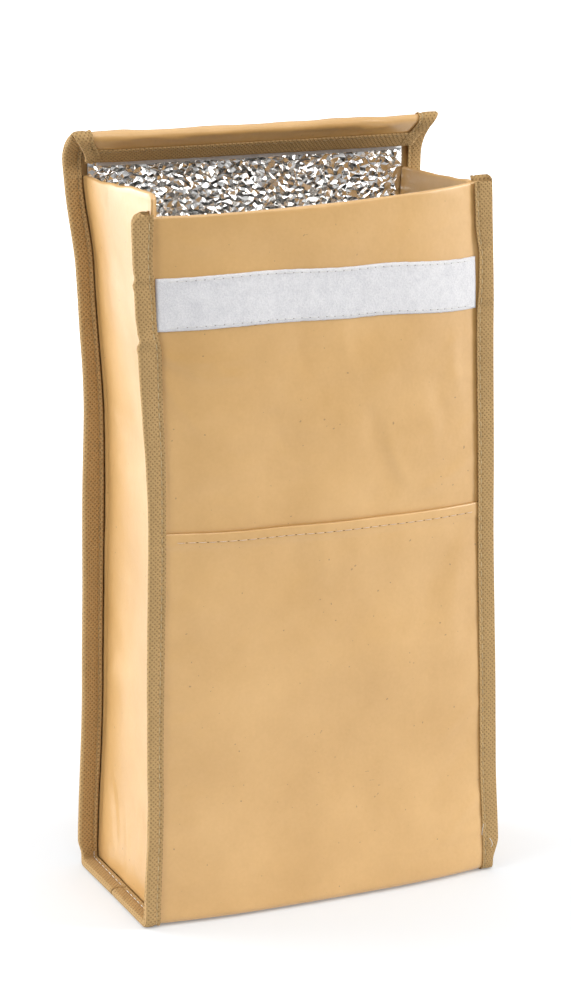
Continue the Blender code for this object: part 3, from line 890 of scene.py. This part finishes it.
# Each side tape's inner and outer edge, as distances beyond the seam at distances along the path.
LEFT_FRONT_INNER = (
    (0, 1.0), (19, 2.0), (45, 0.7), (52, 0.3), (60, -1.2), (94, -0.2), (145, 1.0), (276, 1.6), (330, 0.9),
    (400, 0.3),
)
LEFT_FRONT_OUTER = (
    (0, 10.3), (16, 10.4), (43, 9.8), (52, 9.0), (180, 9.0), (243, 8.8), (312, 8.2), (400, 8.6),
)
LEFT_REAR_INNER = ((380, 0.4), (815, 0.4))
LEFT_REAR_OUTER = (
    (380, 8.7), (425, 9.2), (438, 9.8), (506, 10.1), (558, 9.9), (610, 10.4), (686, 8.6), (714, 8.3),
    (738, 8.9), (764, 8.6), (780, 9.6), (794, 9.0), (815, 7.6),
)
RIGHT_INNER = (
    (0, 0.4), (19, 0.8), (34, 2.2), (46, 1.8), (61, 0.7), (152, 0.4), (282, -0.6), (321, -0.3), (815, 0.3),
)
RIGHT_OUTER = (
    (0, 10.2), (67, 10.0), (152, 9.3), (285, 8.6), (335, 8.7), (400, 8.8), (768, 8.2), (794, 12.0),
    (804, 9.6), (815, 7.6),
)


REAR_TAPE_SEED = 2
KINKS = ((30, 1.6, 0.8), (55, 1.8, -1.2), (26, 1.5, -0.7), (59, 1.8, 0.7))  # place, width and height


def tape_wave(s, seed):
    """A tape's small waves along its length, with sharper kinks where the closing strip ends."""
    wave = noise(s, 0 * s, 24, seed, 3) * 0.4
    if seed == REAR_TAPE_SEED:
        return wave
    return wave + sum(ridge(s - place, width) * height for place, width, height in KINKS)


def tape(name, node, side, start, end, seed, inner, outer, lift=0.0, rounded=0.0):
    """Folded tape round a flange: a front leaf, a rounded fold and a back leaf.

    lift raises the back leaf's front end, and rounded is the radius of that end's outer corner.
    """
    s = np.concatenate([spread(start, start + 8, 0.8), spread(start + 8, end, 1.5)[1:]])[:, None]
    low, high = between(inner, s), between(outer, s)
    if rounded:
        away = np.clip(rounded - (s - start), 0, rounded)
        high = high - rounded + np.sqrt(rounded**2 - away**2)
    wave = tape_wave(s, seed)
    leaf = np.linspace(0, 1, 15)[None, :]
    fold = np.linspace(0, math.pi, 9)[None, 1:-1]
    middle, half = (FLANGE_BACK + FLANGE_FACE) / 2, (FLANGE_BACK - FLANGE_FACE) / 2
    flat = high - 1.0
    width = flat - low
    open_end = np.clip(1 - (s - start) / 10, 0, 1) ** 2 * lift

    def profile(d):
        """The leaf's height outward: a lifted edge, a groove under the stitches, then a soft swell."""
        edge = (0.34 + 0.25 * noise(s + 0 * d, 0 * d, 9, seed + 70, 2)) * ridge(d, 0.8)
        groove = -0.34 * ridge(d - STITCH_INSET, 0.55)
        swell = 0.16 * np.sin(np.clip((d - 2.4) / np.maximum(width - 2.0, 1), 0, 1) * math.pi)
        rough = noise(s + 0 * d, d, 4, seed + 50, 2) * 0.10
        return edge + groove + swell + rough

    front_x, back_low = low + width * leaf, BACK_LEAF_START
    back_x = flat + (back_low - flat) * leaf
    x = np.concatenate([front_x, flat + np.sin(fold), back_x], axis=1)
    layer = np.concatenate(
        [
            FLANGE_FACE - profile(width * leaf),
            middle - half * np.cos(fold) + 0 * s,
            FLANGE_BACK + profile((flat - back_low) * (1 - leaf)) * 0.8,
        ],
        axis=1,
    )
    share = np.clip((layer - FLANGE_FACE) / (FLANGE_BACK - FLANGE_FACE), 0, 1)
    weight = np.clip(x / FLANGE, 0, 1)
    layer = layer + wave * weight * 0.9 + open_end * share * 1.3
    x = x + wave * 0.45 * weight
    path = s - open_end * share
    du, dl = np.gradient(x, axis=1), np.gradient(layer, axis=1)
    size = np.hypot(du, dl)
    out_x, out_layer = dl / size * TAPE, -du / size * TAPE
    steps = np.hypot(np.diff(x, axis=1), np.diff(layer, axis=1))
    across = np.concatenate([0 * s, np.cumsum(steps, axis=1)], axis=1)

    def skin(offset):
        return body(side * (SEAM + x + out_x * offset), path, layer + out_layer * offset)

    uv = np.stack([across, s + 0 * across], axis=-1)
    obj = closed_sheet(name, skin(1.0), skin(0.0), uv, BROWN, flip=side < 0)
    size = (float(np.median(across[:, -1])), end - start)
    stand_for(obj, node)


def end_tape():
    """The tape folded over the flap's free end."""
    end, reach = RUN.length, END_TAPE_REACH
    deep = FOIL_FACE + 0.9
    edge = SEAM + FLANGE - 0.5
    out_run = [(s, FLANGE_FACE) for s in np.linspace(end - reach, end, 9)]
    middle, half = (deep + FLANGE_FACE) / 2, (deep - FLANGE_FACE) / 2
    angles = np.linspace(0, math.pi, 8)[1:-1]
    turn = [(end + 0.9 * math.sin(a), middle - half * math.cos(a)) for a in angles]
    back_run = [(s, deep) for s in np.linspace(end, end - reach, 7)]
    section = np.array([*out_run, *turn, *back_run])
    step = np.diff(section, axis=0)
    step = np.concatenate([step[:1], (step[1:] + step[:-1]) / 2, step[-1:]])
    step /= np.linalg.norm(step, axis=1)[:, None]
    out = np.stack([step[:, 1], -step[:, 0]], axis=1) * TAPE
    x = spread(-edge, edge, 1.6)
    across = np.concatenate([[0], np.cumsum(np.linalg.norm(np.diff(section, axis=0), axis=1))])

    def skin(offset):
        s = section[:, None, 0] + out[:, None, 0] * offset
        layer = section[:, None, 1] + out[:, None, 1] * offset + noise(x, 0 * x, 14, 77, 2)[None, :] * 0.3
        near = body(x[None, :], np.minimum(s, end), layer)
        tip = body(x[None, :], end, layer)
        before = body(x[None, :], end - 1.0, layer)
        return near + (tip - before) * np.maximum(s - end, 0)[..., None]

    uv = flat_uv(across, x)[..., ::-1]
    obj = closed_sheet("flap_end_tape", skin(1.0), skin(0.0), uv, BROWN)
    stand_for(obj, "flap_end_binding")


# ---------------- stitches


def stitch_points(place, start, end, pitch, length, seed):
    """Pairs of ends for a row of stitches. place(t) gives a point of the row and its outward direction."""
    random = np.random.default_rng(seed)
    pairs = []
    t = start + pitch / 2
    while t + length < end:
        wobble = random.uniform(-0.12, 0.12, 2)
        pairs.append((t + wobble[0], t + length + wobble[1]))
        t += pitch
    return [(place(a), place((a + b) / 2), place(b)) for a, b in pairs]


def on_face(x, s, depth, above, sign=1.0):
    """A point of the path's layers at this depth, and the unit direction towards the depth above it."""
    here = body(x, s, depth)
    out = (body(x, s, above) - here) * sign
    return here, out / np.linalg.norm(out)


def hole_shade_marks(row, length):
    """Short dark marks in the gaps of a row of stitches: painted shade where the thread goes down into the
    cloth.
    """
    marks = []
    for (_, _, before), (after, _, _) in zip(row[:-1], row[1:]):
        centre = (before[0] + after[0]) / 2
        along = (after[0] - before[0]) / np.linalg.norm(after[0] - before[0])
        out = before[1]
        ends = [(centre + along * length * share, out) for share in (-0.5, 0.0, 0.5)]
        marks.append(tuple(ends))
    return marks


def stitches(name, rows, radius, material):
    """Short sunk threads. Each is a thin tube that dips into the cloth at both ends."""
    sides, rings = 6, 5
    points, faces = [], []
    for row in rows:
        for ends in row:
            (a, _), (m, out_m), (b, _) = ends
            along = (b - a) / np.linalg.norm(b - a)
            across = np.cross(out_m, along)
            across /= np.linalg.norm(across)
            start = len(points)
            for ring in range(rings):
                share = ring / (rings - 1)
                centre = a * (1 - share) + b * share + (m - (a + b) / 2) * 4 * share * (1 - share)
                rise = radius * (1.5 * math.sin(math.pi * share) - 0.45)
                size = radius * (0.55 + 0.45 * math.sin(math.pi * share))
                for side in range(sides):
                    angle = 2 * math.pi * side / sides
                    up = out_m * (rise + size * math.sin(angle))
                    points.append(centre + up + across * size * math.cos(angle))
            for ring in range(rings - 1):
                for side in range(sides):
                    p = start + ring * sides + side
                    q = start + ring * sides + (side + 1) % sides
                    faces.append([p, p + sides, q + sides, q])
            faces.append([start + k for k in range(sides)])
            faces.append([start + (rings - 1) * sides + k for k in reversed(range(sides))])
    obj = new_mesh(name, np.array(points), faces, material)
    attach(obj, "root")


def seam_stitches(side, start, end, seed, inner, rear):
    """The row that holds a side tape, in the groove of its front leaf or of its back leaf."""
    sign = -1.0 if rear else 1.0
    inset = BACK_LEAF_START + STITCH_INSET if rear else STITCH_INSET

    def place(t):
        beyond = inset if rear else float(between(inner, t)) + inset
        wave = float(tape_wave(np.array(t), REAR_TAPE_SEED if rear else seed % 10)) * beyond / FLANGE * 0.9
        depth = FLANGE_BACK + TAPE - 0.2 if rear else FLANGE_FACE - TAPE + 0.25
        return on_face(side * (SEAM + beyond), t, depth + wave, depth + wave - 1.0, sign)

    return stitch_points(place, start, end, 4.6, 3.4, seed)


def all_stitches():
    """Every row of stitches: pocket hem, closing strip, side seams and flap end."""

    def pocket_row(t):
        s = float(pocket_edge(t)) + 4.3
        depth = float(pocket_face(np.array(t), np.array(s)))
        return on_face(t, s, depth - 0.03, depth - 1.0)

    rows = [stitch_points(pocket_row, -SEAM + 2, SEAM - 2, 5.0, 3.7, 3)]
    stitches("pocket_stitches", rows, 0.21, PAPER_THREAD)
    # Dark marks of painted shade in the gaps between the pocket stitches.
    stitches("pocket_painted_hole_shade_marks", [hole_shade_marks(rows[0], 0.9)], 0.19, HOLE_SHADE)

    rows = []
    for k, inset in enumerate((1.5, STRIP_HEIGHT - 2.1)):

        def strip_row(t, inset=inset):
            s = float(strip_start(t)) + inset
            depth = STRIP_LAYER - float(front_relief(np.array(t), np.array(s)))
            return on_face(t, s, depth - 0.02, depth - 1.0)

        rows.append(stitch_points(strip_row, -SEAM + 3, SEAM - 3, 4.3, 2.9, 5 + k))
    stitches("strip_stitches", rows, 0.15, WHITE_THREAD)
    # Grey marks of painted shade in the gaps between the strip stitches.
    stitches("strip_painted_hole_shade_marks", [hole_shade_marks(row, 0.7) for row in rows], 0.20, STRIP_HOLE_SHADE)

    joint = RUN.front_fold + JOINT_FROM_FRONT
    rows = [
        seam_stitches(-1, -1.0, joint, 11, LEFT_FRONT_INNER, False),
        seam_stitches(1, 0.5, RUN.length - 2, 13, RIGHT_INNER, False),
    ]
    stitches("seam_stitches", rows, 0.17, PALE_THREAD)
    rows = [
        seam_stitches(-1, joint + 1, RUN.back_fold + 4, 22, LEFT_REAR_INNER, True),
        seam_stitches(-1, RUN.front_fold + 4, joint, 21, LEFT_FRONT_INNER, True),
    ]
    stitches("bobbin_stitches", rows, 0.17, WHITE_THREAD)
    rows = [seam_stitches(-1, RUN.back_fold + 8, RUN.length - 2, 24, LEFT_REAR_INNER, True)]
    stitches("rear_seam_stitches", rows, 0.15, DARK_THREAD)

    def end_row(t):
        return on_face(t, RUN.length - END_TAPE_REACH + 1.6, -0.72, -1.72)

    rows = [stitch_points(end_row, -SEAM - 4, SEAM + 4, 4.6, 3.2, 17)]
    stitches("flap_end_stitches", rows, 0.14, DARK_THREAD)


def loose_threads():
    """Two short thread ends at the right front corner."""
    rows = []
    for x, s, drop, swing in ((SEAM + 0.5, 316, 5.5, -1.6), (SEAM + 3.5, 324, 4.5, 1.2)):
        t = np.linspace(0, 1, 9)
        across, depth = x + swing * np.sin(2.2 * t), -1.0 - 0.9 * np.sin(3.0 * t)
        path = body(across, s + drop * t, depth)
        out = np.array([0.0, -1.0, 0.0])
        for first, second in zip(path[:-1], path[1:]):
            rows.append([((first, out), ((first + second) / 2, out), (second, out))])
    stitches("loose_threads", rows, 0.15, WHITE_THREAD)


# ---------------- camera, lights and floor


def make_camera():
    camera = bpy.data.objects.new("camera", bpy.data.cameras.new("camera"))
    bpy.context.scene.collection.objects.link(camera)
    camera.location = CAMERA_PLACE
    camera.rotation_euler = (math.radians(90) - CAMERA_TILT, 0, -CAMERA_TURN)
    camera.data.lens = CAMERA_LENS
    camera.data.sensor_width = 36.0
    camera.data.clip_end = 50
    bpy.context.scene.camera = camera


def area_light(name, place, target, size, power, colour=(1, 1, 1)):
    light = bpy.data.lights.new(name, "AREA")
    light.shape = "RECTANGLE"
    light.size, light.size_y = size
    light.energy = power
    light.color = colour
    obj = bpy.data.objects.new(name, light)
    bpy.context.scene.collection.objects.link(obj)
    obj.location = place
    obj.rotation_euler = (Vector(target) - obj.location).to_track_quat("-Z", "Y").to_euler()


def make_floor():
    """A sweep that glows white far behind the bag, and is plain grey near the camera."""
    n = Nodes("studio_floor")
    along = n.node("ShaderNodeVectorMath", operation="DOT_PRODUCT")
    n.link(n.place(), along.inputs[0])
    along.inputs[1].default_value = (math.sin(CAMERA_TURN), math.cos(CAMERA_TURN), 0)
    along = n.maths("MULTIPLY_ADD", along.outputs["Value"], 0.2, 0.3)
    white = n.ramp(along, ((0.12, (0.30, 0.30, 0.30)), (0.255, (0.66, 0.675, 0.69))))
    near = (0.14, 0.155, 0.17)
    glow = n.ramp(along, ((0.12, (0, 0, 0)), (0.255, near), (0.42, (0.32, 0.33, 0.34)), (0.70, (1, 1, 1))))
    n.link(glow, n.shader.inputs["Emission Color"])
    n.finish(white, 0.9, Specular_IOR_Level=0.2, Emission_Strength=1.0)
    side = 9000.0
    points = [(-side, -side, 0), (side, -side, 0), (side, side, 0), (-side, side, 0)]
    floor = new_mesh("floor", np.array(points, float), [[0, 1, 2, 3]], n.material)
    floor.location.z = -0.0002


def make_world():
    """Surroundings that are grey at the level of the bag, and white from about 27 degrees above it."""
    world = bpy.data.worlds.new("studio")
    bpy.context.scene.world = world
    world.use_nodes = True
    tree = world.node_tree
    background = tree.nodes["Background"]
    where = tree.nodes.new("ShaderNodeTexCoord")
    split = tree.nodes.new("ShaderNodeSeparateXYZ")
    tree.links.new(where.outputs["Generated"], split.inputs["Vector"])
    shade = tree.nodes.new("ShaderNodeValToRGB")
    elements = shade.color_ramp.elements
    elements[0].position, elements[0].color = 0.0, (0.16, 0.16, 0.17, 1)
    elements[1].position, elements[1].color = 0.45, (1, 1, 1, 1)
    tree.links.new(split.outputs["Z"], shade.inputs["Fac"])
    tree.links.new(shade.outputs["Color"], background.inputs["Color"])
    background.inputs["Strength"].default_value = 0.62


def make_lights():
    target = BAG_MIDDLE
    area_light("overhead", (0.0, 0.5, 2.4), (0, 0.2, 0), (2.4, 2.4), 18)
    area_light("front_top", (0.0, -1.5, 2.1), target, (1.5, 1.5), 14.5)
    area_light("key_right", (1.9, -0.9, 1.0), target, (0.9, 1.3), 31, (1.0, 0.985, 0.96))
    area_light("back_left", (-1.7, 1.5, 0.5), target, (1.6, 1.4), 52)
    area_light("front_left", (-2.0, -0.55, 0.9), target, (1.0, 1.2), 13)


def main():
    bpy.context.scene.view_settings.view_transform = "Standard"
    make_camera()
    make_floor()
    make_world()
    make_lights()
    outer_body_panel()
    upper_front_panel()
    body_lining()
    for side, word in ((-1, "left"), (1, "right")):
        gusset(side, word)
        gusset_foil(side, word)
    strip(
        "loop_strip_pile", "loop_strip", strip_start, SEAM + 0.5, STRIP_LAYER, 0.9,
        front_relief, 0.8, LOOP,
    )
    hook_start = RUN.length - HOOK_FROM_END - STRIP_HEIGHT * HOOK_REACH
    strip(
        "hook_strip_tape", "hook_strip", lambda x: hook_start + 0 * x, SEAM - 6, FOIL_FACE + 0.9, 0.7,
        shared_relief, 0.8, HOOK, HOOK_REACH,
    )
    joint = RUN.front_fold + JOINT_FROM_FRONT
    tape(
        "left_front_tape", "left_front_binding", -1, -2.6, joint, 1,
        LEFT_FRONT_INNER, LEFT_FRONT_OUTER, lift=0.8, rounded=4.5,
    )
    tape(
        "left_rear_tape", "left_rear_binding", -1, joint + 0.3, RUN.length, REAR_TAPE_SEED,
        LEFT_REAR_INNER, LEFT_REAR_OUTER,
    )
    tape("right_tape", "right_binding", 1, -1.2, RUN.length, 3, RIGHT_INNER, RIGHT_OUTER, lift=2.4)
    end_tape()
    all_stitches()
    loose_threads()


main()
